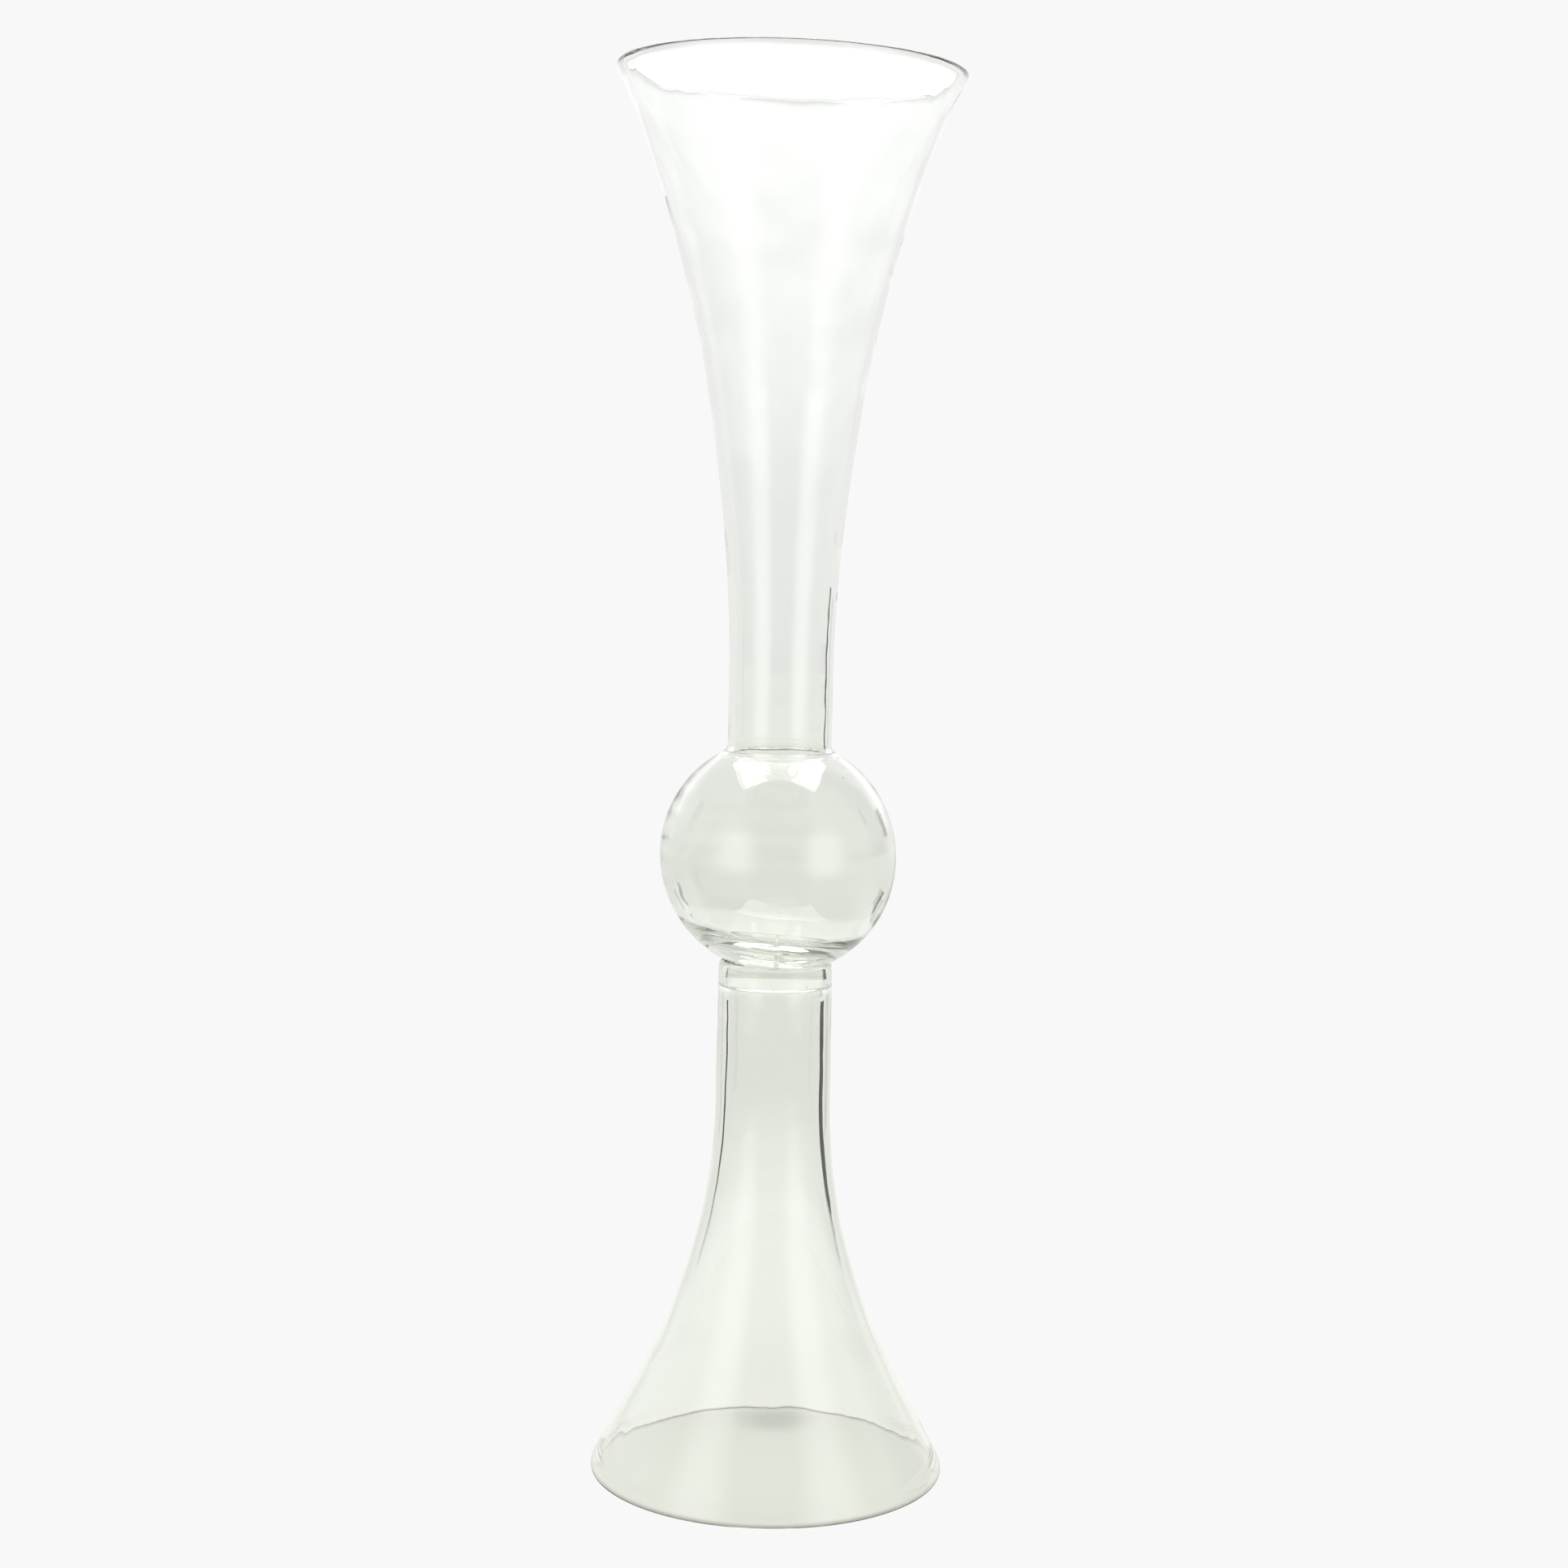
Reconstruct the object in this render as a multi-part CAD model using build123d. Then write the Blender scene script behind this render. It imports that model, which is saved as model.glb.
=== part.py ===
from build123d import *
import os

# A tall clear-glass flower vase that stands either way up. A flared trumpet runs down into a
# straight neck, the neck opens into a hollow ball, and the ball stands on a bell-shaped foot.
# The trumpet and the ball hold the water. A solid glass plug closes the top of the bell, so the
# vase can be turned over and its bell used as a bowl.
# Everything is round about Z, and the bell's rim stands on Z = 0. Units are millimetres.

# Driving dimensions.
HEIGHT = 600.0
RIM_RADIUS = 73.8
RIM_WALL = 1.8
FOOT_RADIUS = 76.95
FOOT_WALL = 1.8
RIM_ROUNDING = 0.45

NECK_RADIUS = 22.2
NECK_BORE_RADIUS = 19.2
NECK_TOP_Z = 346.0
# The neck's lower end spreads a little where it is fused to the ball.
NECK_END_RADIUS = 23.2
NECK_SPREAD_HEIGHT = 3.5

BALL_CENTRE_Z = 269.4
BALL_RADIUS = 50.8
CAVITY_RADIUS = 47.0
BALL_FLOOR_Z = 231.5

JOINT_RADIUS = 23.0
PLUG_RADIUS = 21.3
PLUG_HEIGHT = 10.0
SHOULDER_RADIUS = 24.3
SHOULDER_HEIGHT = 3.0
COLUMN_FOOT_Z = 180.0
COLUMN_BORE_RADIUS = 19.5
# The plug rests on a ledge of this width, rounded off into the column's bore below it.
LEDGE_WIDTH = 3.3
LEDGE_HEIGHT = 3.0

# The trumpet's flare above the neck: height, outer radius, and the wall measured level.
TRUMPET_FLARE = [
    (375.0, 22.9, 2.9),
    (410.0, 25.6, 2.75),
    (444.0, 29.9, 2.65),
    (478.0, 35.3, 2.6),
    (512.0, 43.1, 2.4),
    (545.0, 52.2, 2.1),
    (579.0, 63.9, 1.9),
]

# The bell's flare below the column, in the same form.
BELL_FLARE = [
    (150.0, 25.2, 4.7),
    (121.0, 28.4, 4.1),
    (92.0, 35.4, 3.5),
    (62.0, 45.9, 2.7),
    (32.0, 60.9, 2.2),
    (10.0, 72.5, 1.9),
]
COLUMN_RADIUS = 24.7

# The ball's cavity below its widest: the wall thickens into a heavy, nearly flat floor.
CAVITY_FLOOR = [
    (43.4, 252.0),
    (35.6, 240.5),
    (25.0, 234.3),
    (12.0, 231.9),
]

UP = (0, 1)
DOWN = (0, -1)
INWARD = (-1, 0)


def sphere_rise(sphere_radius, radius):
    """How far from a sphere's middle plane its surface lies at this distance from the axis."""
    return (sphere_radius**2 - radius**2) ** 0.5


NECK_END_Z = BALL_CENTRE_Z + sphere_rise(BALL_RADIUS, NECK_END_RADIUS)
CAVITY_MOUTH_Z = BALL_CENTRE_Z + sphere_rise(CAVITY_RADIUS, NECK_BORE_RADIUS)
JOINT_Z = BALL_CENTRE_Z - sphere_rise(BALL_RADIUS, JOINT_RADIUS)
CEILING_Z = JOINT_Z - PLUG_HEIGHT


def spun(*edges):
    """The solid that a closed outline of (radius, height) edges sweeps out about Z."""
    outline = Curve() + list(edges)
    return revolve(make_face(Plane.XZ * outline), axis=Axis.Z)


def outer_side(flare):
    return [(radius, z) for z, radius, wall in flare]


def inner_side(flare):
    return [(radius - wall, z) for z, radius, wall in flare]


def fire_polished(solid, rim_z):
    """Rounds both edges of the rim at this height and leaves a flat ring between them."""
    circles = solid.edges().filter_by(GeomType.CIRCLE)
    return fillet(circles.filter_by_position(Axis.Z, rim_z - 0.01, rim_z + 0.01), RIM_ROUNDING)


def trumpet():
    """The flared mouth and its straight neck, open at both ends, standing on the ball's collar."""
    spread_top = (NECK_RADIUS, NECK_END_Z + NECK_SPREAD_HEIGHT)
    neck_top = (NECK_RADIUS, NECK_TOP_Z)
    rim = (RIM_RADIUS, HEIGHT)
    inner_rim = (RIM_RADIUS - RIM_WALL, HEIGHT)
    bore_top = (NECK_BORE_RADIUS, NECK_TOP_Z)
    bore_end = (NECK_BORE_RADIUS, NECK_END_Z)
    neck_end = (NECK_END_RADIUS, NECK_END_Z)
    solid = spun(
        Spline(neck_end, spread_top, tangents=[(-1, 1), UP]),
        Line(spread_top, neck_top),
        Spline(neck_top, *outer_side(TRUMPET_FLARE), rim, tangents=[UP, (1, 2)]),
        Line(rim, inner_rim),
        Spline(inner_rim, *reversed(inner_side(TRUMPET_FLARE)), bore_top, tangents=[(-1, -2), DOWN]),
        Line(bore_top, bore_end),
        Line(bore_end, neck_end),
    )
    return fire_polished(solid, HEIGHT)


def ball():
    """The hollow ball, open to the neck above, with a heavy floor and a flat underside."""
    underside = (0, JOINT_Z)
    seat = (JOINT_RADIUS, JOINT_Z)
    widest = (BALL_RADIUS, BALL_CENTRE_Z)
    collar = (NECK_END_RADIUS, NECK_END_Z)
    collar_inside = (NECK_BORE_RADIUS, NECK_END_Z)
    cavity_mouth = (NECK_BORE_RADIUS, CAVITY_MOUTH_Z)
    cavity_widest = (CAVITY_RADIUS, BALL_CENTRE_Z)
    cavity_upper = (CAVITY_RADIUS * 0.8, BALL_CENTRE_Z + CAVITY_RADIUS * 0.6)
    cavity_bottom = (0, BALL_FLOOR_Z)
    return spun(
        Line(underside, seat),
        ThreePointArc(seat, widest, collar),
        Line(collar, collar_inside),
        Line(collar_inside, cavity_mouth),
        ThreePointArc(cavity_mouth, cavity_upper, cavity_widest),
        Spline(cavity_widest, *CAVITY_FLOOR, cavity_bottom, tangents=[DOWN, INWARD]),
        Line(cavity_bottom, underside),
    )


def joining_plug():
    """The solid disc that closes the column. The ball stands on it."""
    top_at_origin = (Align.CENTER, Align.CENTER, Align.MAX)
    return Pos(0, 0, JOINT_Z) * Cylinder(PLUG_RADIUS, PLUG_HEIGHT, align=top_at_origin)


def bell_foot():
    """The bell and its thick column, with a socket at the top that holds the plug."""
    shoulder = (JOINT_RADIUS, JOINT_Z)
    shoulder_foot = (SHOULDER_RADIUS, JOINT_Z - SHOULDER_HEIGHT)
    column_foot = (COLUMN_RADIUS, COLUMN_FOOT_Z)
    rim = (FOOT_RADIUS, 0)
    inner_rim = (FOOT_RADIUS - FOOT_WALL, 0)
    bore_foot = (COLUMN_BORE_RADIUS, COLUMN_FOOT_Z)
    bore_top = (COLUMN_BORE_RADIUS, CEILING_Z - LEDGE_HEIGHT)
    ledge_edge = (PLUG_RADIUS - LEDGE_WIDTH, CEILING_Z)
    socket_foot = (PLUG_RADIUS, CEILING_Z)
    socket_top = (PLUG_RADIUS, JOINT_Z)
    solid = spun(
        Spline(shoulder, shoulder_foot, tangents=[(1, 0), DOWN]),
        Line(shoulder_foot, column_foot),
        Spline(column_foot, *outer_side(BELL_FLARE), rim, tangents=[DOWN, (1, -2)]),
        Line(rim, inner_rim),
        Spline(inner_rim, *reversed(inner_side(BELL_FLARE)), bore_foot, tangents=[(-1, 2), UP]),
        Line(bore_foot, bore_top),
        Spline(bore_top, ledge_edge, tangents=[UP, (-1, 1)]),
        Line(ledge_edge, socket_foot),
        Line(socket_foot, socket_top),
        Line(socket_top, shoulder),
    )
    return fire_polished(solid, 0)


os.makedirs("parts", exist_ok=True)
export_step(trumpet(), "parts/trumpet.step")
export_step(ball(), "parts/ball.step")
export_step(joining_plug(), "parts/joining_plug.step")
export_step(bell_foot(), "parts/bell_foot.step")
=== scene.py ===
import bpy
import math
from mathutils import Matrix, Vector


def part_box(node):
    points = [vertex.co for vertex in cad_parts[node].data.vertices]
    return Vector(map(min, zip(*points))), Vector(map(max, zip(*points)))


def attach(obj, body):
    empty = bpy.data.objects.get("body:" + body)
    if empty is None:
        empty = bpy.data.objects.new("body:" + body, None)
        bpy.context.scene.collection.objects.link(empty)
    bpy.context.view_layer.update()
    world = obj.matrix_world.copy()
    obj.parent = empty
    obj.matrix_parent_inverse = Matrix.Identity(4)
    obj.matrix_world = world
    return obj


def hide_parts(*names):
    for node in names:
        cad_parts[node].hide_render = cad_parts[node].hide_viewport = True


bl_info = {
    "name": "Blown glass trumpet vase",
    "version": (1, 0, 0),
    "blender": (4, 5, 0),
    "location": "3D View > Sidebar > Vase",
    "description": "Blows a clear trumpet vase with a ball and a bell foot, and sets it in a pale studio",
    "category": "Add Mesh",
}

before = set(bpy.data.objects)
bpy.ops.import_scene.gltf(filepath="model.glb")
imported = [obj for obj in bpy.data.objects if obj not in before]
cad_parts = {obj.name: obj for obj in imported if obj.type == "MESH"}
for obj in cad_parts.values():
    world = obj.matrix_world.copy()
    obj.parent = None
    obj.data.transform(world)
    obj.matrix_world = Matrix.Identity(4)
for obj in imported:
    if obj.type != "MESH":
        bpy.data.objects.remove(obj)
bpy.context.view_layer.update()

# Every length below is in mm and every angle in degrees, unless it says otherwise.
MM = 0.001

RIM_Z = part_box("trumpet")[1].z / MM
RIM_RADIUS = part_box("trumpet")[1].x / MM
COLLAR_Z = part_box("trumpet")[0].z / MM
BALL_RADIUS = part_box("ball")[1].x / MM
JOINT_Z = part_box("ball")[0].z / MM
PLUG_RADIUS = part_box("joining_plug")[1].x / MM
CEILING_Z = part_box("joining_plug")[0].z / MM
FOOT_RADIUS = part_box("bell_foot")[1].x / MM

# Each flare is a few places along the wall: height, outer radius, and the wall measured level.
TRUMPET_FLARE = [
    (362.0, 22.4, 3.0),
    (375.0, 22.9, 2.9),
    (392.0, 24.0, 2.8),
    (410.0, 25.6, 2.75),
    (444.0, 29.9, 2.65),
    (478.0, 35.3, 2.6),
    (512.0, 43.1, 2.4),
    (545.0, 52.2, 2.1),
    (579.0, 63.9, 1.9),
]
BELL_FLARE = [
    (10.0, 72.5, 1.9),
    (32.0, 60.9, 2.2),
    (62.0, 45.9, 2.7),
    (92.0, 35.4, 3.5),
    (121.0, 28.4, 4.1),
    (150.0, 25.2, 4.7),
    (180.0, 24.7, 5.2),
]
NECK_TOP_Z = 348.0
NECK_MIDDLE_Z = 335.0
BALL_CENTRE_Z = 269.4
CAVITY_RADIUS = 47.0
CAVITY_RAISE = 1.0
JOINT_RADIUS = 23.0
COLUMN_RADIUS = 24.6
COLUMN_MIDDLE_Z = 195.0
BORE_RADIUS = 19.5
LEDGE_RADIUS = 17.8
PLUG_CLEARANCE = 0.1

# A fire-polished rim, from its outside to its inside: how far in from its radius and back from its top.
RIM_PROFILE = [(0.1, 0.7), (0.8, 0.0), (1.6, 0.5)]
# The ball's inside floor: distance from the axis and height above its lowest place.
BALL_FLOOR_PROFILE = [(35.5, 8.4), (29.0, 4.2), (20.0, 1.3), (10.0, 0.2), (2.0, 0.0)]
# The column's shoulder, and the corner under the plug: distance from the axis and depth below the seam.
SHOULDER_PROFILE = [(23.9, 0.9), (24.3, 3.0), (24.45, 12.0)]
LEDGE_PROFILE = [(BORE_RADIUS, 2.4), (BORE_RADIUS - 0.5, 0.8)]

# Where the neck spreads into the ball both faces of its wall turn about one centre, this far out from
# the neck and up from the seam. The seam's two edges lie this far out from the neck's two faces.
SPREAD_OUT = 4.0
SPREAD_UP = 2.94
SPREAD_RADIUS = 4.0
SPREAD_INNER_RADIUS = 7.0
SEAM_OUTER_STEP = 1.29
SEAM_INNER_STEP = 0.65
# Arcs in the walls' outlines: first and last angle above level, then how many points. Those by the seam
# stop a little short of it, because its edges are corners.
NECK_OUTER_TURN = (226.0, 180.0, 5)
NECK_INNER_TURN = (180.0, 203.8, 4)
BALL_COLLAR_TURN = (240.0, 229.0, 3)
CAVITY_COLLAR_TURN = (206.0, 238.0, 4)
BALL_TURN = (-60.0, 59.0, 11)
CAVITY_TURN = (57.0, -32.0, 9)

# Pieces melted together are left this far apart, so that no two of their level faces coincide.
SEAM_GAP = 0.03
# How fast a wall's unevenness grows with the distance from a seam, and how long its waves are.
SEAM_REACH = 8.0
WAVE_LENGTH = 22.0
TRUMPET_WAVES = 0.3
BALL_WAVES = 0.06
FOOT_WAVES = 0.2

# The mouth leans from the points this near its top, and the lean dies away over this length of glass.
RIM_TOP = 0.3
MOUTH_LEAN_REACH = 120.0
# The ball's floor sinks and shifts aside: its points lie below this height and inside the cavity's
# radius with this much to spare. Each move dies away over its own length of glass.
BALL_FLOOR_TOP_Z = 238.0
BALL_FLOOR_SKIN = 0.5
BALL_FLOOR_SHIFT = 1.5
BALL_FLOOR_LEAN_REACH = 90.0
BALL_FLOOR_SHIFT_REACH = 100.0

# How finely the walls are made, and the sharpest angle that is still shaded smooth.
CURVE_STEPS = 8
ROUND_STEPS = 180
MERGE_DISTANCE = 0.005
SHARP_EDGE = 50.0

GLASS_IOR = 1.52
# The heights over which the body's tint turns into the mouth's, and the painted shade at the foot's rim
# into the body's tint.
MOUTH_TINT_RISE = (300.0, 600.0)
PAINTED_RIM_SHADE_RISE = (0.6, 1.6)

# Air bubbles left in the glass: degrees round from the front, distance from the axis, height, radius.
BALL_SEEDS = [
    (-40.0, 21.6, 313.6, 0.35),
    (-21.0, 21.7, 313.7, 0.3),
    (-4.0, 21.6, 313.6, 0.35),
    (33.0, 21.8, 313.8, 0.3),
    (52.0, 33.0, 304.2, 0.35),
    (70.0, 44.8, 289.3, 0.3),
]
FOOT_SEEDS = [
    (-98.0, 22.6, 221.2, 0.5),
    (-84.0, 22.3, 220.1, 0.35),
    (-92.0, 22.8, 218.6, 0.55),
    (-104.0, 22.4, 217.3, 0.4),
    (-88.0, 22.6, 216.4, 0.5),
    (-96.0, 22.5, 215.2, 0.4),
    (-140.0, 22.6, 219.0, 0.4),
    (82.0, 22.5, 221.0, 0.45),
    (95.0, 22.4, 219.4, 0.35),
    (89.0, 22.8, 217.9, 0.5),
    (100.0, 22.5, 216.5, 0.4),
    (86.0, 22.4, 215.3, 0.35),
    (150.0, 22.6, 217.0, 0.4),
    (35.0, 22.5, 215.6, 0.35),
]

# The studio's lengths are in metres, but for the dark cards' and the shade under the rim.
OVERHEAD_PLACE = (0, 0.36, 1.6)
OVERHEAD_SIZE = (1.46, 1.28)
OVERHEAD_SAG = 0.2
FRONT_TURN = 47.0
FRONT_DISTANCE = 1.1
FRONT_HEIGHT = 0.42
FRONT_SIZE = (1.25, 1.6)
# A front softbox fades between these distances from its centre, in parts of its own size.
SOFT_EDGE = (0.1, 0.5)

CAMERA_PLACE = (0.00215, -1.12725, 0.41016)
CAMERA_DOWN = 5.565
CAMERA_ROLL = 1.15
CAMERA_LENS = 60.67
CAMERA_SENSOR = 36
# Light runs round inside thick clear glass many times before it finds its way out.
LIGHT_BOUNCES = 128

# Dark cards behind the vase draw the thin lines down its walls: degrees round from straight behind,
# then the card's lowest and highest edge and its width, in mm.
DARK_CARDS = [
    ("dark_card_right_low", 50.0, 98.0, 162.0, 80.0),
    ("dark_card_right_high", 51.0, 290.0, 360.0, 40.0),
    ("dark_card_left_low", -54.5, 98.0, 162.0, 30.0),
]
DARK_CARD_DISTANCE = 300.0

# Painted shade on the paper seen through the glass, by distance from a point just in front of the axis:
# dark under the foot, bright just past its rim, dimmer far off.
PAPER_CENTRE = (0, -0.012, 0)
PAPER_RADIUS = 6
PAPER_REACH = 3.0
PAINTED_PAPER_SHADE = [
    (0.0, "EAECE2"),
    (0.04, "E8EAE1"),
    (0.086, "E2E4DB"),
    (0.09, "F9FAF7"),
    (0.5, "F9FAF7"),
    (0.85, "E6E7E3"),
    (1.4, "E8EAE6"),
    (3.0, "EFF0ED"),
]
# A small soft spot of shade on the paper behind the axis: its place and edge, and the light left in it.
SPOT_PLACE = (0.003, 0.06, 0)
SPOT_EDGE = (0.004, 0.024)
SPOT_LIGHT = 0.8
# The ring of shade under the rim, in mm: how far in from the rim it lies and how far it reaches.
RIM_SHADE_INSET = 0.9
RIM_SHADE_REACH = 2.2
RIM_SHADE_LIGHT = 0.85

# The studio wall's brightness by degrees round from straight behind the vase. Upwards, by the sine of
# the angle above level, it rises over one stretch and falls off over another.
WALL_STOPS = [
    (-180, 0.5), (-150, 0.55), (-125, 0.8), (-100, 0.8), (-84, 0.8), (-74, 0.76), (-58, 0.78),
    (-48, 0.86), (0, 0.86), (42, 0.86), (49, 0.6), (58, 0.45), (72, 0.45), (84, 0.65), (100, 0.7),
    (125, 0.8), (150, 0.55), (180, 0.5),
]
WALL_RISE = (0.0, 0.14)
WALL_RISE_LIGHT = 1.3
WALL_FALL = (0.25, 0.5)
WALL_FALL_LIGHT = 0.7

SMOOTH = "AUTO"
CORNER = "VECTOR"


def linear(hex_colour):
    """A colour picked on screen, as the light values that the shaders use."""
    values = [int(hex_colour[i:i + 2], 16) / 255 for i in (0, 2, 4)]
    return [v / 12.92 if v <= 0.04045 else ((v + 0.055) / 1.055) ** 2.4 for v in values]


def arc(centre_radius, centre_z, radius, start, end, count):
    """Points on a circle in the outline, from one angle above level to another."""
    angles = [math.radians(start + (end - start) * i / (count - 1)) for i in range(count)]
    return [(centre_radius + radius * math.cos(a), centre_z + radius * math.sin(a), SMOOTH) for a in angles]


def spread(neck, radius, start, end, count):
    """Points where the neck's wall turns outwards into the ball."""
    return arc(neck + SPREAD_OUT, COLLAR_Z + SPREAD_UP, radius, start, end, count)


def outer(flare):
    return [(radius, z, SMOOTH) for z, radius, wall in flare]


def inner(flare):
    return [(radius - wall, z, SMOOTH) for z, radius, wall in reversed(flare)]


def rounded_rim(radius, top, back):
    """The rim's outline. Back is 1 where the wall goes up from the rim and -1 where it goes down."""
    return [(radius - inset, top + back * depth, SMOOTH) for inset, depth in RIM_PROFILE]


def blown(name, outline, closed):
    """Draws half the wall's outline as a smooth curve and spins it round the axis into a closed wall."""
    bpy.ops.object.select_all(action="DESELECT")
    bpy.ops.curve.primitive_bezier_curve_add()
    drawn = bpy.context.object
    spline = drawn.data.splines[0]
    spline.bezier_points.add(len(outline) - 2)
    spline.use_cyclic_u = closed
    spline.resolution_u = CURVE_STEPS
    for point, (radius, z, kind) in zip(spline.bezier_points, outline):
        point.co = (radius * MM, 0, z * MM)
        point.handle_left_type = kind
        point.handle_right_type = kind
    bpy.ops.object.convert(target="MESH")
    piece = bpy.context.object
    piece.name = name
    piece.data.name = name
    bpy.ops.object.mode_set(mode="EDIT")
    bpy.ops.mesh.select_all(action="SELECT")
    bpy.ops.mesh.spin(steps=ROUND_STEPS, angle=math.tau, center=(0, 0, 0), axis=(0, 0, 1))
    bpy.ops.mesh.select_all(action="SELECT")
    bpy.ops.mesh.remove_doubles(threshold=MERGE_DISTANCE * MM)
    bpy.ops.mesh.normals_make_consistent(inside=False)
    bpy.ops.object.mode_set(mode="OBJECT")
    return piece


def pick(piece, wanted):
    """Selects the points that pass a test of x, y and z, and nothing else, and stays in edit mode."""
    bpy.ops.object.mode_set(mode="EDIT")
    bpy.ops.mesh.select_mode(type="VERT")
    bpy.ops.mesh.select_all(action="DESELECT")
    bpy.ops.object.mode_set(mode="OBJECT")
    for point in piece.data.vertices:
        point.select = wanted(*(point.co / MM))
    bpy.ops.object.mode_set(mode="EDIT")


def uneven(piece, away, depth):
    """Hand-blown walls are never quite even: swells them by a soft noise that dies away near a seam."""
    loose = piece.vertex_groups.new(name="away_from_seams")
    for point in piece.data.vertices:
        x, y, z = point.co / MM
        loose.add([point.index], min(1.0, away(math.hypot(x, y), z) / SEAM_REACH), "REPLACE")
    clouds = bpy.data.textures.new(piece.name + "_waves", "CLOUDS")
    clouds.noise_scale = WAVE_LENGTH * MM
    swell = piece.modifiers.new("waves", "DISPLACE")
    swell.texture = clouds
    swell.texture_coords = "LOCAL"
    swell.strength = depth * MM
    swell.mid_level = 0.5
    swell.vertex_group = loose.name
    bpy.ops.object.modifier_apply(modifier=swell.name)
    piece.vertex_groups.clear()


def seeds(piece, places):
    """Leaves small air bubbles in the glass, each a closed hollow whose faces look into the air."""
    bpy.ops.object.mode_set(mode="EDIT")
    for turn, from_axis, z, radius in places:
        bpy.ops.mesh.select_all(action="DESELECT")
        angle = math.radians(turn)
        place = (from_axis * math.sin(angle) * MM, -from_axis * math.cos(angle) * MM, z * MM)
        bpy.ops.mesh.primitive_ico_sphere_add(subdivisions=2, radius=radius * MM, location=place)
        bpy.ops.mesh.flip_normals()
    bpy.ops.object.mode_set(mode="OBJECT")


def finish(piece, node, glass):
    """Smooths the wall, gives it its glass and puts it in the node's place."""
    if not piece.data.polygons:
        raise RuntimeError(piece.name + " came out empty")
    bpy.ops.object.select_all(action="DESELECT")
    piece.select_set(True)
    bpy.context.view_layer.objects.active = piece
    bpy.ops.object.shade_smooth_by_angle(angle=math.radians(SHARP_EDGE))
    piece.data.materials.append(glass)
    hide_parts(node)
    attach(piece, "root")


def add(tree, kind, settings=None, links=None):
    """Adds a node. A key is an input's name or number, or the name of one of the node's own settings.

    A link comes from an output, or from a node and then its first output is meant.
    """
    node = tree.nodes.new(kind)
    for key, value in (settings or {}).items():
        if isinstance(key, int) or key in node.inputs:
            node.inputs[key].default_value = value
        else:
            setattr(node, key, value)
    for key, source in (links or {}).items():
        socket = source if isinstance(source, bpy.types.NodeSocket) else source.outputs[0]
        tree.links.new(node.inputs[key], socket)
    return node


def grade(ramp, stops):
    """Puts each colour on a ramp at its position between 0 and 1."""
    for i in range(len(stops) - 2):
        ramp.elements.new((i + 1) / len(stops))
    for mark, (position, colour) in zip(ramp.elements, stops):
        mark.position = position
        mark.color = (*colour, 1)


def new_material(name):
    """An empty material and its node tree."""
    material = bpy.data.materials.new(name)
    material.use_nodes = True
    material.node_tree.nodes.clear()
    return material, material.node_tree


def left_by_seams(tree, place, seams):
    """1 everywhere but on the melted seams, given as height and inner radius, where it is 0."""
    split = add(tree, "ShaderNodeSeparateXYZ", links={0: place})
    level = add(tree, "ShaderNodeCombineXYZ", links={0: split.outputs["X"], 1: split.outputs["Y"]})
    from_axis = add(tree, "ShaderNodeVectorMath", {"operation": "LENGTH"}, {0: level}).outputs["Value"]
    melted = None
    for height, radius in seams:
        near = {"operation": "COMPARE", 1: height * MM, 2: 2 * SEAM_GAP * MM}
        at_height = add(tree, "ShaderNodeMath", near, {0: split.outputs["Z"]})
        past = {"operation": "GREATER_THAN", 1: radius * MM}
        beyond = add(tree, "ShaderNodeMath", past, {0: from_axis})
        seam = add(tree, "ShaderNodeMath", {"operation": "MINIMUM"}, {0: at_height, 1: beyond})
        if melted is None:
            melted = seam
        else:
            melted = add(tree, "ShaderNodeMath", {"operation": "MAXIMUM"}, {0: melted, 1: seam})
    return add(tree, "ShaderNodeMath", {"operation": "SUBTRACT", 0: 1.0}, {1: melted})


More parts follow.
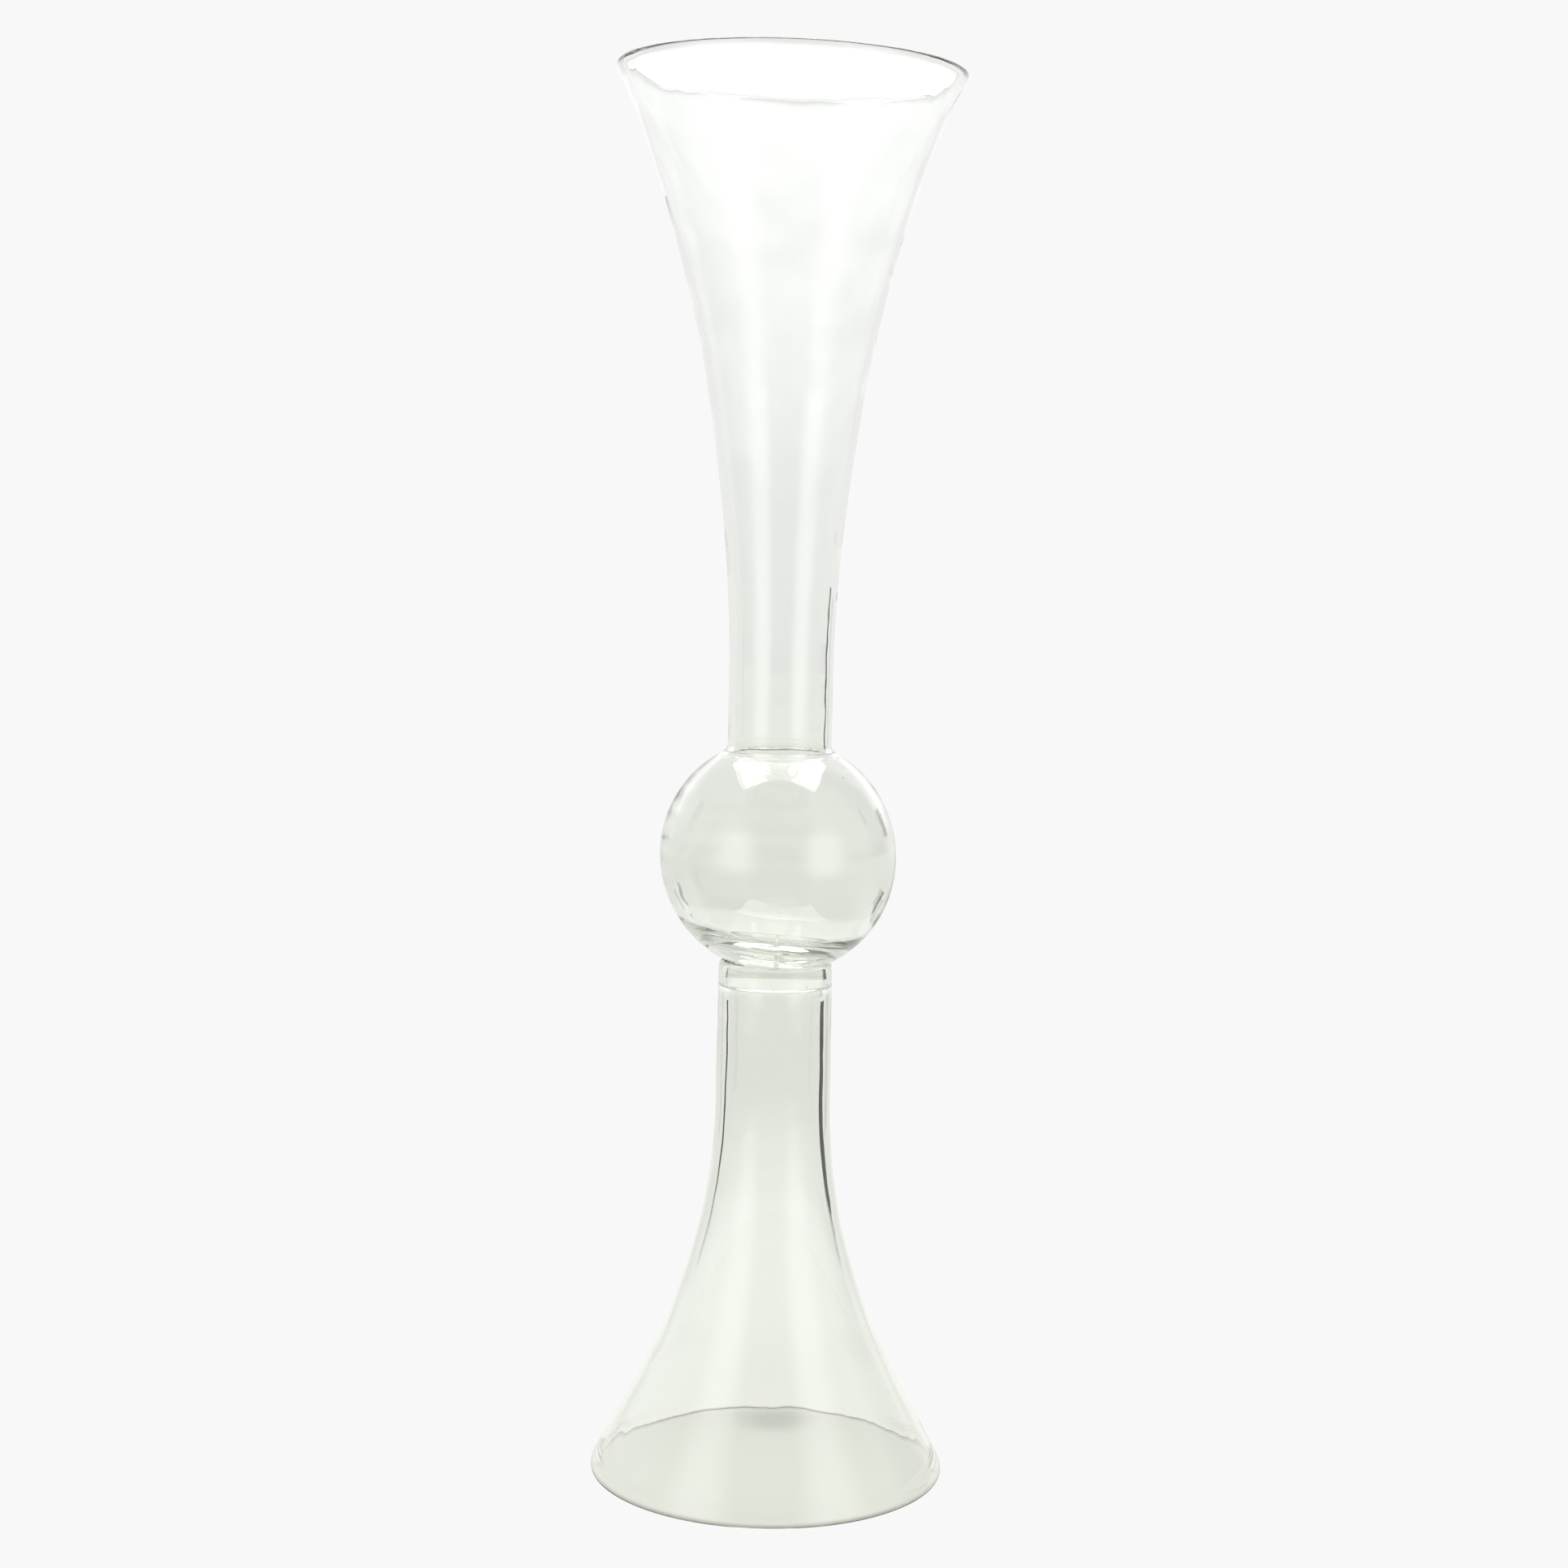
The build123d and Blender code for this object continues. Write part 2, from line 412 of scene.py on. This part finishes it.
def clear_soda_glass(name, seams, density):
    """Hand-blown soda-lime glass: clear, fire-polished and faintly grey-green where it is thick.

    Where two gathers were joined hot no surface is left inside the glass. So the level faces at the
    seams are made open and light passes straight on.
    """
    look = bpy.context.scene.vase_glass
    material, tree = new_material(name)
    place = add(tree, "ShaderNodeTexCoord").outputs["Object"]
    height = add(tree, "ShaderNodeSeparateXYZ", links={0: place}).outputs["Z"]
    # The thin mouth looks a shade whiter than the body.
    whitening = {"From Min": MOUTH_TINT_RISE[0] * MM, "From Max": MOUTH_TINT_RISE[1] * MM}
    up = add(tree, "ShaderNodeMapRange", whitening, {"Value": height})
    tints = {"data_type": "RGBA", 6: look.body_tint, 7: look.mouth_tint}
    tint = add(tree, "ShaderNodeMix", tints, {"Factor": up})
    # Painted shade: the lowest mm of glass, where the rounded rim stands on the table, is darkened to warm
    # grey in its colour.
    clearing = {"From Min": PAINTED_RIM_SHADE_RISE[0] * MM, "From Max": PAINTED_RIM_SHADE_RISE[1] * MM}
    above_rim = add(tree, "ShaderNodeMapRange", clearing, {"Value": height})
    rim_shaded = {"data_type": "RGBA", 6: look.painted_rim_shade}
    tint = add(tree, "ShaderNodeMix", rim_shaded, {"Factor": above_rim, 7: tint.outputs[2]})
    # Drawing the gather out leaves long faint cords in the wall, which catch the light as soft streaks.
    spacing = (1 / (look.cord_width * MM), 1 / (look.cord_width * MM), 1 / (look.cord_length * MM))
    drawn_out = add(tree, "ShaderNodeMapping", {"Scale": spacing}, {"Vector": place})
    cords = add(tree, "ShaderNodeTexNoise", {"Scale": 1.0, "Detail": 2.0}, {"Vector": drawn_out})
    ripple = add(tree, "ShaderNodeBump", {"Distance": look.cord_depth * MM}, {"Height": cords})
    polished = {"Roughness": 0.0, "IOR": GLASS_IOR, "Transmission Weight": 1.0}
    left = left_by_seams(tree, place, seams)
    faces = {"Base Color": tint.outputs[2], "Alpha": left, "Normal": ripple}
    glass = add(tree, "ShaderNodeBsdfPrincipled", polished, faces)
    # Iron in the sand gives thick glass its grey-green depth.
    depth = add(tree, "ShaderNodeVolumeAbsorption", {"Color": look.depth_colour, "Density": density})
    add(tree, "ShaderNodeOutputMaterial", links={"Surface": glass, "Volume": depth})
    return material


class VaseSizes(bpy.types.PropertyGroup):
    neck_radius: bpy.props.FloatProperty(
        name="Neck radius",
        description="Outside radius of the straight neck",
        default=0.0222,
        unit="LENGTH",
    )
    neck_bore: bpy.props.FloatProperty(
        name="Neck bore",
        description="Inside radius of the straight neck",
        default=0.0192,
        unit="LENGTH",
    )
    floor_height: bpy.props.FloatProperty(
        name="Ball floor",
        description="Height of the ball's inside floor above the table",
        default=0.2313,
        unit="LENGTH",
    )
    floor_lean: bpy.props.FloatProperty(
        name="Ball floor lean",
        description="How far the ball's heavy floor leans to one side",
        default=math.radians(-6.0),
        subtype="ANGLE",
    )
    mouth_lean: bpy.props.FloatProperty(
        name="Mouth lean",
        description="How far the trumpet's rim leans to one side",
        default=math.radians(-1.0),
        subtype="ANGLE",
    )


class VaseGlass(bpy.types.PropertyGroup):
    body_tint: bpy.props.FloatVectorProperty(
        name="Body tint",
        description="Colour the glass gives to light at each surface, low down",
        subtype="COLOR",
        size=4,
        min=0.0,
        max=1.0,
        default=(*linear("FBFCF9"), 1.0),
    )
    mouth_tint: bpy.props.FloatVectorProperty(
        name="Mouth tint",
        description="Colour the glass gives to light at each surface, at the mouth",
        subtype="COLOR",
        size=4,
        min=0.0,
        max=1.0,
        default=(*linear("FEFFFE"), 1.0),
    )
    # Painted shade: a darker warm grey laid on the glass's colour at the foot's rim, in place of the shade
    # where it stands on the table.
    painted_rim_shade: bpy.props.FloatVectorProperty(
        name="Rim tint",
        description="Colour the glass gives to light at the foot's rounded rim",
        subtype="COLOR",
        size=4,
        min=0.0,
        max=1.0,
        default=(*linear("A29B97"), 1.0),
    )
    depth_colour: bpy.props.FloatVectorProperty(
        name="Depth colour",
        description="Colour that thick glass takes on",
        subtype="COLOR",
        size=4,
        min=0.0,
        max=1.0,
        default=(*linear("B3BCAA"), 1.0),
    )
    wall_density: bpy.props.FloatProperty(
        name="Wall density",
        description="How quickly the depth colour builds up in the walls and the plug",
        default=4.0,
    )
    ball_density: bpy.props.FloatProperty(
        name="Ball density",
        description="How quickly the depth colour builds up in the heavy ball",
        default=8.0,
    )
    cord_width: bpy.props.FloatProperty(
        name="Cord width",
        description="Spacing of the faint cords across the wall, in mm",
        default=8.0,
    )
    cord_length: bpy.props.FloatProperty(
        name="Cord length",
        description="Length of the faint cords along the wall, in mm",
        default=60.0,
    )
    cord_depth: bpy.props.FloatProperty(
        name="Cord depth",
        description="Height of the faint cords, in mm",
        default=0.02,
    )


class VaseStudio(bpy.types.PropertyGroup):
    backdrop: bpy.props.FloatVectorProperty(
        name="Backdrop",
        description="Colour of the floor and the background as the camera sees them",
        subtype="COLOR",
        size=4,
        min=0.0,
        max=1.0,
        default=(*linear("F8F8F8"), 1.0),
    )
    overhead: bpy.props.FloatProperty(
        name="Overhead softbox",
        description="Strength of the large softbox over the vase",
        default=3.4,
    )
    front: bpy.props.FloatProperty(
        name="Front softboxes",
        description="Strength of the two softboxes either side of the camera",
        default=1.6,
    )


class VASE_OT_trumpet(bpy.types.Operator):
    """Blows the flared mouth and its straight neck"""
    bl_idname = "vase.trumpet"
    bl_label = "Trumpet"

    def execute(self, context):
        sizes = context.scene.vase_sizes
        neck = sizes.neck_radius / MM
        bore = sizes.neck_bore / MM
        outline = [
            (neck + SEAM_OUTER_STEP, COLLAR_Z + SEAM_GAP, CORNER),
            *spread(neck, SPREAD_RADIUS, *NECK_OUTER_TURN),
            (neck, NECK_MIDDLE_Z, SMOOTH),
            (neck, NECK_TOP_Z, SMOOTH),
            *outer(TRUMPET_FLARE),
            *rounded_rim(RIM_RADIUS, RIM_Z, -1),
            *inner(TRUMPET_FLARE),
            (bore, NECK_TOP_Z, SMOOTH),
            (bore, NECK_MIDDLE_Z, SMOOTH),
            *spread(neck, SPREAD_INNER_RADIUS, *NECK_INNER_TURN),
            (bore + SEAM_INNER_STEP, COLLAR_Z + SEAM_GAP, CORNER),
        ]
        piece = blown("trumpet_glass", outline, True)
        uneven(piece, lambda radius, z: z - COLLAR_Z, TRUMPET_WAVES)
        pick(piece, lambda x, y, z: z > RIM_Z - RIM_TOP)
        bpy.ops.transform.rotate(
            value=sizes.mouth_lean, orient_axis="Y", center_override=(0, 0, RIM_Z * MM),
            use_proportional_edit=True, proportional_edit_falloff="SMOOTH",
            proportional_size=MOUTH_LEAN_REACH * MM)
        bpy.ops.object.mode_set(mode="OBJECT")
        density = context.scene.vase_glass.wall_density
        glass = clear_soda_glass("blown_trumpet_glass", [(COLLAR_Z, 0.0)], density)
        finish(piece, "trumpet", glass)
        return {"FINISHED"}


class VASE_OT_ball(bpy.types.Operator):
    """Blows the hollow ball with its heavy floor"""
    bl_idname = "vase.ball"
    bl_label = "Ball"

    def execute(self, context):
        sizes = context.scene.vase_sizes
        neck = sizes.neck_radius / MM
        bore = sizes.neck_bore / MM
        floor = sizes.floor_height / MM
        outline = [
            (0.0, JOINT_Z, CORNER),
            (JOINT_RADIUS, JOINT_Z, CORNER),
            *arc(0.0, BALL_CENTRE_Z, BALL_RADIUS, *BALL_TURN),
            *spread(neck, SPREAD_RADIUS, *BALL_COLLAR_TURN),
            (neck + SEAM_OUTER_STEP, COLLAR_Z, CORNER),
            (bore + SEAM_INNER_STEP, COLLAR_Z, CORNER),
            *spread(neck, SPREAD_INNER_RADIUS, *CAVITY_COLLAR_TURN),
            *arc(0.0, BALL_CENTRE_Z + CAVITY_RAISE, CAVITY_RADIUS, *CAVITY_TURN),
            *[(radius, floor + rise, SMOOTH) for radius, rise in BALL_FLOOR_PROFILE],
            (0.0, floor, CORNER),
        ]
        piece = blown("ball_glass", outline, False)

        def on_floor(x, y, z):
            from_centre = math.hypot(x, y, z - BALL_CENTRE_Z)
            return from_centre < CAVITY_RADIUS + BALL_FLOOR_SKIN and z < BALL_FLOOR_TOP_Z

        # The gather sank to one side while the floor was soft.
        pick(piece, on_floor)
        bpy.ops.transform.rotate(
            value=sizes.floor_lean, orient_axis="Y", center_override=(0, 0, BALL_CENTRE_Z * MM),
            use_proportional_edit=True, use_proportional_connected=True,
            proportional_edit_falloff="SMOOTH", proportional_size=BALL_FLOOR_LEAN_REACH * MM)
        bpy.ops.transform.translate(
            value=(BALL_FLOOR_SHIFT * MM, 0, 0),
            use_proportional_edit=True, use_proportional_connected=True,
            proportional_edit_falloff="SMOOTH", proportional_size=BALL_FLOOR_SHIFT_REACH * MM)
        bpy.ops.object.mode_set(mode="OBJECT")
        uneven(piece, lambda radius, z: min(z - JOINT_Z, COLLAR_Z - z), BALL_WAVES)
        seeds(piece, BALL_SEEDS)
        density = context.scene.vase_glass.ball_density
        glass = clear_soda_glass("blown_ball_glass", [(JOINT_Z, 0.0), (COLLAR_Z, 0.0)], density)
        finish(piece, "ball", glass)
        return {"FINISHED"}


class VASE_OT_plug(bpy.types.Operator):
    """Presses the solid disc that closes the column"""
    bl_idname = "vase.plug"
    bl_label = "Joining plug"

    def execute(self, context):
        side = PLUG_RADIUS - PLUG_CLEARANCE
        outline = [
            (0.0, JOINT_Z - SEAM_GAP, CORNER),
            (side, JOINT_Z - SEAM_GAP, CORNER),
            (side, CEILING_Z, CORNER),
            (0.0, CEILING_Z, CORNER),
        ]
        piece = blown("plug_glass", outline, False)
        density = context.scene.vase_glass.wall_density
        glass = clear_soda_glass("pressed_plug_glass", [(JOINT_Z, 0.0), (CEILING_Z, LEDGE_RADIUS)], density)
        finish(piece, "joining_plug", glass)
        return {"FINISHED"}


class VASE_OT_foot(bpy.types.Operator):
    """Blows the bell and its thick column"""
    bl_idname = "vase.foot"
    bl_label = "Bell foot"

    def execute(self, context):
        ledge_z = CEILING_Z - SEAM_GAP
        outline = [
            (JOINT_RADIUS, JOINT_Z - SEAM_GAP, CORNER),
            *[(radius, JOINT_Z - depth, SMOOTH) for radius, depth in SHOULDER_PROFILE],
            (COLUMN_RADIUS, COLUMN_MIDDLE_Z, SMOOTH),
            *outer(BELL_FLARE[::-1]),
            *rounded_rim(FOOT_RADIUS, 0.0, 1),
            *inner(BELL_FLARE[::-1]),
            (BORE_RADIUS, COLUMN_MIDDLE_Z, SMOOTH),
            *[(radius, CEILING_Z - depth, SMOOTH) for radius, depth in LEDGE_PROFILE],
            (LEDGE_RADIUS, ledge_z, CORNER),
            (PLUG_RADIUS, ledge_z, CORNER),
            (PLUG_RADIUS, JOINT_Z - SEAM_GAP, CORNER),
        ]
        piece = blown("foot_glass", outline, True)

        def from_seams(radius, z):
            from_ledge = math.hypot(max(radius - PLUG_RADIUS, 0), max(CEILING_Z - z, 0))
            return min(JOINT_Z - z, z, from_ledge)

        uneven(piece, from_seams, FOOT_WAVES)
        seeds(piece, FOOT_SEEDS)
        density = context.scene.vase_glass.wall_density
        glass = clear_soda_glass("blown_foot_glass", [(JOINT_Z, 0.0), (CEILING_Z, LEDGE_RADIUS)], density)
        finish(piece, "bell_foot", glass)
        return {"FINISHED"}


def card(name, place, turn, size, light, soft=False):
    """A flat studio panel that the glass picks up and the camera doesn't.

    A dark card shows only in light that has turned round inside a wall, never straight through the vase.
    """
    bpy.ops.object.select_all(action="DESELECT")
    bpy.ops.mesh.primitive_plane_add(size=1, location=place, rotation=turn)
    panel = bpy.context.object
    panel.name = name
    panel.scale = (size[0], size[1], 1)
    material, tree = new_material(name)
    surface = add(tree, "ShaderNodeEmission", {"Strength": light})
    through = add(tree, "ShaderNodeBsdfTransparent")
    if soft:
        on_panel = add(tree, "ShaderNodeTexCoord").outputs["Object"]
        out = add(tree, "ShaderNodeVectorMath", {"operation": "LENGTH"}, {0: on_panel}).outputs["Value"]
        fading = {
            "interpolation_type": "SMOOTHSTEP",
            "From Min": SOFT_EDGE[0],
            "From Max": SOFT_EDGE[1],
            "To Min": 1.0,
            "To Max": 0.0,
        }
        fade = add(tree, "ShaderNodeMapRange", fading, {"Value": out})
        surface = add(tree, "ShaderNodeMixShader", links={0: fade, 1: through, 2: surface})
    if not light:
        turns = add(tree, "ShaderNodeLightPath").outputs["Glossy Depth"]
        shown = add(tree, "ShaderNodeMath", {"operation": "GREATER_THAN", 1: 0.5}, {0: turns})
        surface = add(tree, "ShaderNodeMixShader", links={0: shown, 1: through, 2: surface})
    add(tree, "ShaderNodeOutputMaterial", links={"Surface": surface})
    panel.data.materials.append(material)
    panel.visible_camera = False
    panel.visible_shadow = False
    panel.visible_diffuse = light > 0
    return panel


def pale_paper_floor(backdrop):
    """Plain pale paper to the camera. Through the glass it carries painted shade, darker towards the foot
    and under the rim.
    """
    material, tree = new_material("pale_paper_floor")
    plain = add(tree, "ShaderNodeEmission", {"Color": backdrop, "Strength": 1.0})
    place = add(tree, "ShaderNodeTexCoord").outputs["Object"]
    from_centre = {"operation": "DISTANCE", 1: PAPER_CENTRE}
    out = add(tree, "ShaderNodeVectorMath", from_centre, {0: place}).outputs["Value"]
    reach = add(tree, "ShaderNodeMath", {"operation": "DIVIDE", 1: PAPER_REACH}, {0: out})
    # Painted shade: the paper is made darker inside the foot, where the vase would shade it.
    shaded_paper = add(tree, "ShaderNodeValToRGB", links={0: reach})
    grade(shaded_paper.color_ramp, [(far / PAPER_REACH, linear(colour)) for far, colour in PAINTED_PAPER_SHADE])
    from_spot = {"operation": "DISTANCE", 1: SPOT_PLACE}
    away = add(tree, "ShaderNodeVectorMath", from_spot, {0: place}).outputs["Value"]
    fading = {
        "interpolation_type": "SMOOTHSTEP",
        "From Min": SPOT_EDGE[0],
        "From Max": SPOT_EDGE[1],
        "To Min": SPOT_LIGHT,
        "To Max": 1.0,
    }
    spot = add(tree, "ShaderNodeMapRange", fading, {"Value": away})
    from_axis = add(tree, "ShaderNodeVectorMath", {"operation": "LENGTH"}, {0: place}).outputs["Value"]
    ring = {"operation": "COMPARE", 1: (FOOT_RADIUS - RIM_SHADE_INSET) * MM, 2: RIM_SHADE_REACH * MM}
    under_rim = add(tree, "ShaderNodeMath", ring, {0: from_axis})
    shading = {"To Min": 1.0, "To Max": RIM_SHADE_LIGHT}
    shade = add(tree, "ShaderNodeMapRange", shading, {"Value": under_rim})
    light = add(tree, "ShaderNodeMath", {"operation": "MULTIPLY"}, {0: spot, 1: shade})
    paper = add(tree, "ShaderNodeEmission", links={"Color": shaded_paper, "Strength": light})
    seen = add(tree, "ShaderNodeLightPath").outputs["Is Camera Ray"]
    both = add(tree, "ShaderNodeMixShader", links={0: seen, 1: paper, 2: plain})
    add(tree, "ShaderNodeOutputMaterial", links={"Surface": both})
    return material


def soft_studio(backdrop):
    """Studio walls whose brightness changes round the vase, with a plain backdrop to the camera."""
    world = bpy.data.worlds.new("soft_studio")
    world.use_nodes = True
    tree = world.node_tree
    tree.nodes.clear()
    place = add(tree, "ShaderNodeTexCoord").outputs["Generated"]
    split = add(tree, "ShaderNodeSeparateXYZ", links={0: place})
    sideways = {0: split.outputs["X"], 1: split.outputs["Y"]}
    turn = add(tree, "ShaderNodeMath", {"operation": "ARCTAN2"}, sideways)
    whole_turn = {"From Min": -math.pi, "From Max": math.pi}
    round_the_vase = add(tree, "ShaderNodeMapRange", whole_turn, {"Value": turn})
    ring = add(tree, "ShaderNodeValToRGB", links={0: round_the_vase})
    grade(ring.color_ramp, [((degrees + 180) / 360, (light,) * 3) for degrees, light in WALL_STOPS])
    height = {"Value": split.outputs["Z"]}
    rising = {
        "From Min": WALL_RISE[0],
        "From Max": WALL_RISE[1],
        "To Min": 1.0,
        "To Max": WALL_RISE_LIGHT,
    }
    rise = add(tree, "ShaderNodeMapRange", rising, height)
    falling = {
        "interpolation_type": "SMOOTHSTEP",
        "From Min": WALL_FALL[0],
        "From Max": WALL_FALL[1],
        "To Min": 1.0,
        "To Max": WALL_FALL_LIGHT,
    }
    fall = add(tree, "ShaderNodeMapRange", falling, height)
    low_light = add(tree, "ShaderNodeMath", {"operation": "MULTIPLY"}, {0: rise, 1: ring})
    light = add(tree, "ShaderNodeMath", {"operation": "MULTIPLY"}, {0: low_light, 1: fall})
    white = (*linear("FFFFFF"), 1.0)
    around = add(tree, "ShaderNodeBackground", {"Color": white}, {"Strength": light})
    plain = add(tree, "ShaderNodeBackground", {"Color": backdrop, "Strength": 1.0})
    seen = add(tree, "ShaderNodeLightPath").outputs["Is Camera Ray"]
    both = add(tree, "ShaderNodeMixShader", links={0: seen, 1: around, 2: plain})
    add(tree, "ShaderNodeOutputWorld", links={"Surface": both})
    return world


class VASE_OT_studio(bpy.types.Operator):
    """Sets the floor, the softboxes, the dark cards and the camera"""
    bl_idname = "vase.studio"
    bl_label = "Studio"

    def execute(self, context):
        scene = context.scene
        look = scene.vase_studio
        bpy.ops.object.select_all(action="DESELECT")
        bpy.ops.mesh.primitive_circle_add(
            vertices=96, radius=PAPER_RADIUS, fill_type="NGON", location=(0, 0, 0))
        floor = bpy.context.object
        floor.name = "studio_floor"
        floor.data.materials.append(pale_paper_floor(look.backdrop))
        scene.world = soft_studio(look.backdrop)

        # The overhead softbox sags back at its front edge, so its reflection on the ball is arched.
        overhead = card("overhead_softbox", OVERHEAD_PLACE, (0, 0, 0), OVERHEAD_SIZE, look.overhead)
        bpy.context.view_layer.objects.active = overhead
        bpy.ops.object.mode_set(mode="EDIT")
        bpy.ops.mesh.subdivide(number_cuts=1)
        pick(overhead, lambda x, y, z: x == 0 and y < 0)
        bpy.ops.transform.translate(value=(0, OVERHEAD_SAG, 0))
        bpy.ops.object.mode_set(mode="OBJECT")
        for side in (-1, 1):
            turn = math.radians(FRONT_TURN) * side
            spot = (FRONT_DISTANCE * math.sin(turn), -FRONT_DISTANCE * math.cos(turn), FRONT_HEIGHT)
            card("front_softbox", spot, (math.pi / 2, 0, turn), FRONT_SIZE, look.front, soft=True)
        for name, angle, low, high, width in DARK_CARDS:
            turn = math.radians(angle)
            away = DARK_CARD_DISTANCE * MM
            spot = (away * math.sin(turn), away * math.cos(turn), (low + high) / 2 * MM)
            card(name, spot, (math.pi / 2, 0, -turn), (width * MM, (high - low) * MM), 0.0)

        bpy.ops.object.select_all(action="DESELECT")
        bpy.ops.object.camera_add(location=CAMERA_PLACE)
        camera = bpy.context.object
        camera.name = "studio_camera"
        camera.rotation_mode = "XYZ"
        camera.rotation_euler = (math.radians(90 - CAMERA_DOWN), 0, 0)
        camera.rotation_euler.rotate_axis("Z", math.radians(CAMERA_ROLL))
        camera.data.sensor_width = CAMERA_SENSOR
        camera.data.lens = CAMERA_LENS
        scene.camera = camera
        scene.view_settings.view_transform = "Standard"
        scene.cycles.max_bounces = LIGHT_BOUNCES
        scene.cycles.transmission_bounces = LIGHT_BOUNCES
        scene.cycles.glossy_bounces = LIGHT_BOUNCES
        scene.cycles.transparent_max_bounces = LIGHT_BOUNCES
        return {"FINISHED"}


GROUPS = (("vase_sizes", VaseSizes), ("vase_glass", VaseGlass), ("vase_studio", VaseStudio))
OPERATORS = (VASE_OT_trumpet, VASE_OT_ball, VASE_OT_plug, VASE_OT_foot, VASE_OT_studio)


class VASE_PT_panel(bpy.types.Panel):
    bl_label = "Glass vase"
    bl_space_type = "VIEW_3D"
    bl_region_type = "UI"
    bl_category = "Vase"

    def draw(self, context):
        for name, group in GROUPS:
            box = self.layout.box()
            for prop in group.__annotations__:
                box.prop(getattr(context.scene, name), prop)
        for operator in OPERATORS:
            self.layout.operator(operator.bl_idname)


CLASSES = (VaseSizes, VaseGlass, VaseStudio, *OPERATORS, VASE_PT_panel)


def register():
    for cls in CLASSES:
        bpy.utils.register_class(cls)
    for name, group in GROUPS:
        setattr(bpy.types.Scene, name, bpy.props.PointerProperty(type=group))


def unregister():
    for name, group in GROUPS:
        delattr(bpy.types.Scene, name)
    for cls in reversed(CLASSES):
        bpy.utils.unregister_class(cls)


def main():
    register()
    bpy.ops.vase.trumpet()
    bpy.ops.vase.ball()
    bpy.ops.vase.plug()
    bpy.ops.vase.foot()
    bpy.ops.vase.studio()


if __name__ == "__main__":
    main()
